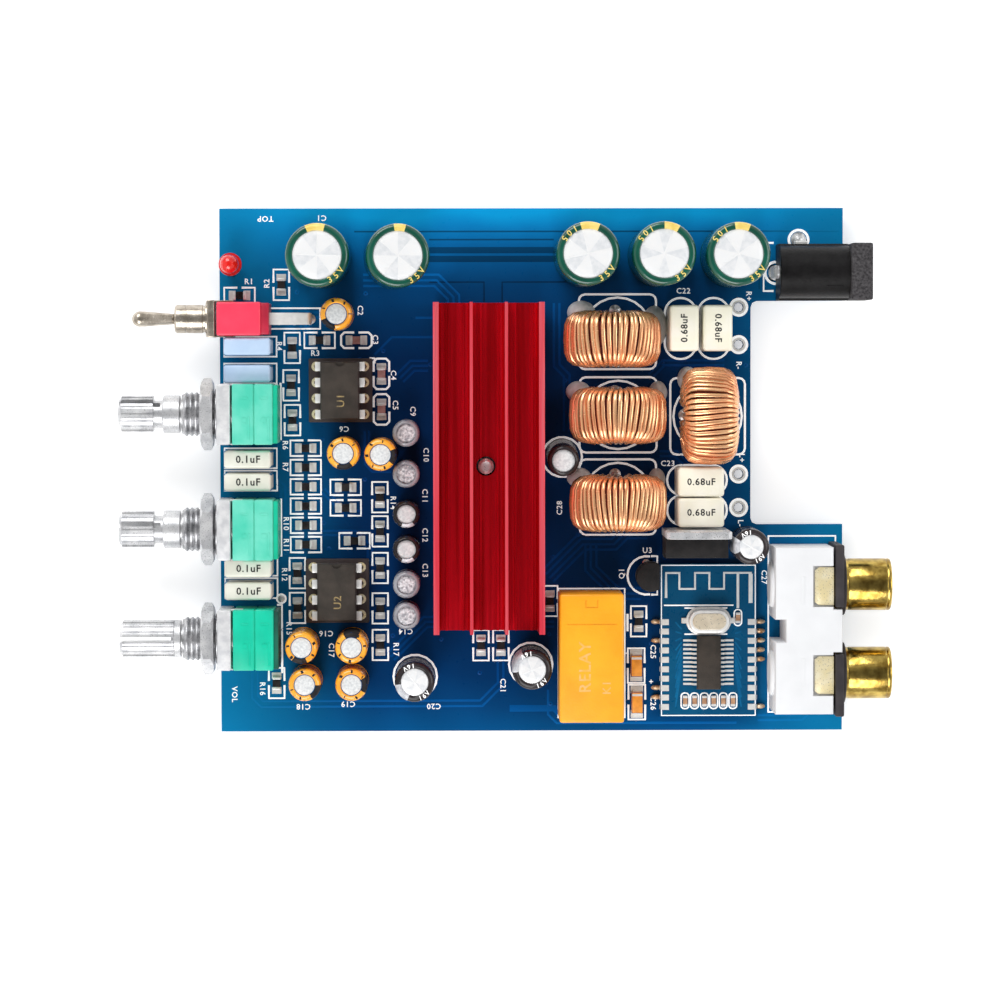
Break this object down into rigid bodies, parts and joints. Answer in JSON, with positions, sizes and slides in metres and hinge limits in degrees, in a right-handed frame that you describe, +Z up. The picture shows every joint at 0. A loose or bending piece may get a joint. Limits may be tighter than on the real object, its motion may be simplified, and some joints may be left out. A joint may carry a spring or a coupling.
{
  "type": "audio amplifier board",
  "caption": "Blue audio amplifier board with a red finned heatsink, copper ring chokes, knob shafts on one edge, and a power jack and gold phono sockets on the other.",
  "frame": {"origin": "middle of the whole part's footprint, at the lowest point of the solder joints it stands on", "axes": "+X from the knob shafts to the phono sockets, +Y across the board towards the power jack, +Z up out of the component side"},
  "size_m": [0.1226, 0.084, 0.0208],
  "materials": {
    "board": "blue solder mask over glass fibre",
    "red_anodised": "red anodised, extruded",
    "bright_steel": "nickel plated",
    "black_plastic": "moulded, slightly glossy",
    "green_plastic": "moulded phenolic, sea green",
    "red_plastic": "moulded, red",
    "white_plastic": "moulded, white",
    "cream_plastic": "cast case, cream",
    "yellow_plastic": "moulded, amber yellow",
    "red_lens": "clear red epoxy",
    "green_sleeve": "heat-shrunk sleeve, dark green",
    "dark_sleeve": "heat-shrunk sleeve, dark",
    "copper_wire": "enamelled copper wire",
    "iron_powder": "pressed iron powder, painted",
    "gold_plate": "gold plated, polished"
  },
  "bodies": {
    "board": {"circuit_board": "board", "wireless_board": "board", "heatsink": "red_anodised", "heatsink_screw": "bright_steel", "amplifier_chip": "black_plastic", "toggle_body": "red_plastic", "toggle_bushing": "bright_steel", "power_led": "red_lens", "dc_jack_housing": "black_plastic", "dc_jack_pin": "bright_steel", "voltage_regulator": "black_plastic", "transistor": "black_plastic", "relay": "yellow_plastic", "wireless_chip": "black_plastic", "wireless_crystal": "bright_steel", "rca_housing": "white_plastic", "treble_pot_bracket": "bright_steel", "treble_pot_housing": "green_plastic", "treble_pot_nut": "bright_steel", "bass_pot_bracket": "bright_steel", "bass_pot_housing": "green_plastic", "bass_pot_nut": "bright_steel", "volume_pot_bracket": "bright_steel", "volume_pot_housing": "green_plastic", "volume_pot_nut": "bright_steel", "reservoir_capacitor_1": "green_sleeve", "reservoir_capacitor_2": "green_sleeve", "reservoir_capacitor_3": "green_sleeve", "reservoir_capacitor_4": "green_sleeve", "reservoir_capacitor_5": "green_sleeve", "smoothing_capacitor_1": "dark_sleeve", "choke_core_1": "iron_powder", "choke_winding_1": "copper_wire", "filter_capacitor_1": "cream_plastic", "smoothing_capacitor_2": "dark_sleeve", "choke_core_2": "iron_powder", "choke_winding_2": "copper_wire", "filter_capacitor_2": "cream_plastic", "smoothing_capacitor_3": "dark_sleeve", "choke_core_3": "iron_powder", "choke_winding_3": "copper_wire", "filter_capacitor_3": "cream_plastic", "smoothing_capacitor_4": "dark_sleeve", "choke_core_4": "iron_powder", "choke_winding_4": "copper_wire", "filter_capacitor_4": "cream_plastic", "rca_shell_upper": "gold_plate", "rca_contact_upper": "gold_plate", "rca_front_plate_upper": "black_plastic", "rca_shell_lower": "gold_plate", "rca_contact_lower": "gold_plate", "rca_front_plate_lower": "black_plastic", "opamp_socket_1": "black_plastic", "opamp_1": "black_plastic", "opamp_socket_2": "black_plastic", "opamp_2": "black_plastic"},
    "treble_knob_shaft": {"treble_pot_shaft": "bright_steel"},
    "bass_knob_shaft": {"bass_pot_shaft": "bright_steel"},
    "volume_knob_shaft": {"volume_pot_shaft": "bright_steel"},
    "switch_lever": {"toggle_lever": "bright_steel"}
  },
  "joints": [
    {"name": "treble_turn", "type": "hinge", "parent": "board", "child": "treble_knob_shaft", "pos_m": [-0.0456, 0.0092, 0.0096], "axis": [1, 0, 0], "range_deg": [-150, 150]},
    {"name": "bass_turn", "type": "hinge", "parent": "board", "child": "bass_knob_shaft", "pos_m": [-0.0456, -0.0091, 0.0096], "axis": [1, 0, 0], "range_deg": [-150, 150]},
    {"name": "volume_turn", "type": "hinge", "parent": "board", "child": "volume_knob_shaft", "pos_m": [-0.0456, -0.0265, 0.0096], "axis": [1, 0, 0], "range_deg": [-150, 150]},
    {"name": "switch_flip", "type": "hinge", "parent": "board", "child": "switch_lever", "pos_m": [-0.05095, 0.0243, 0.0077], "axis": [0, -1, 0], "range_deg": [0, 25]}
  ]
}
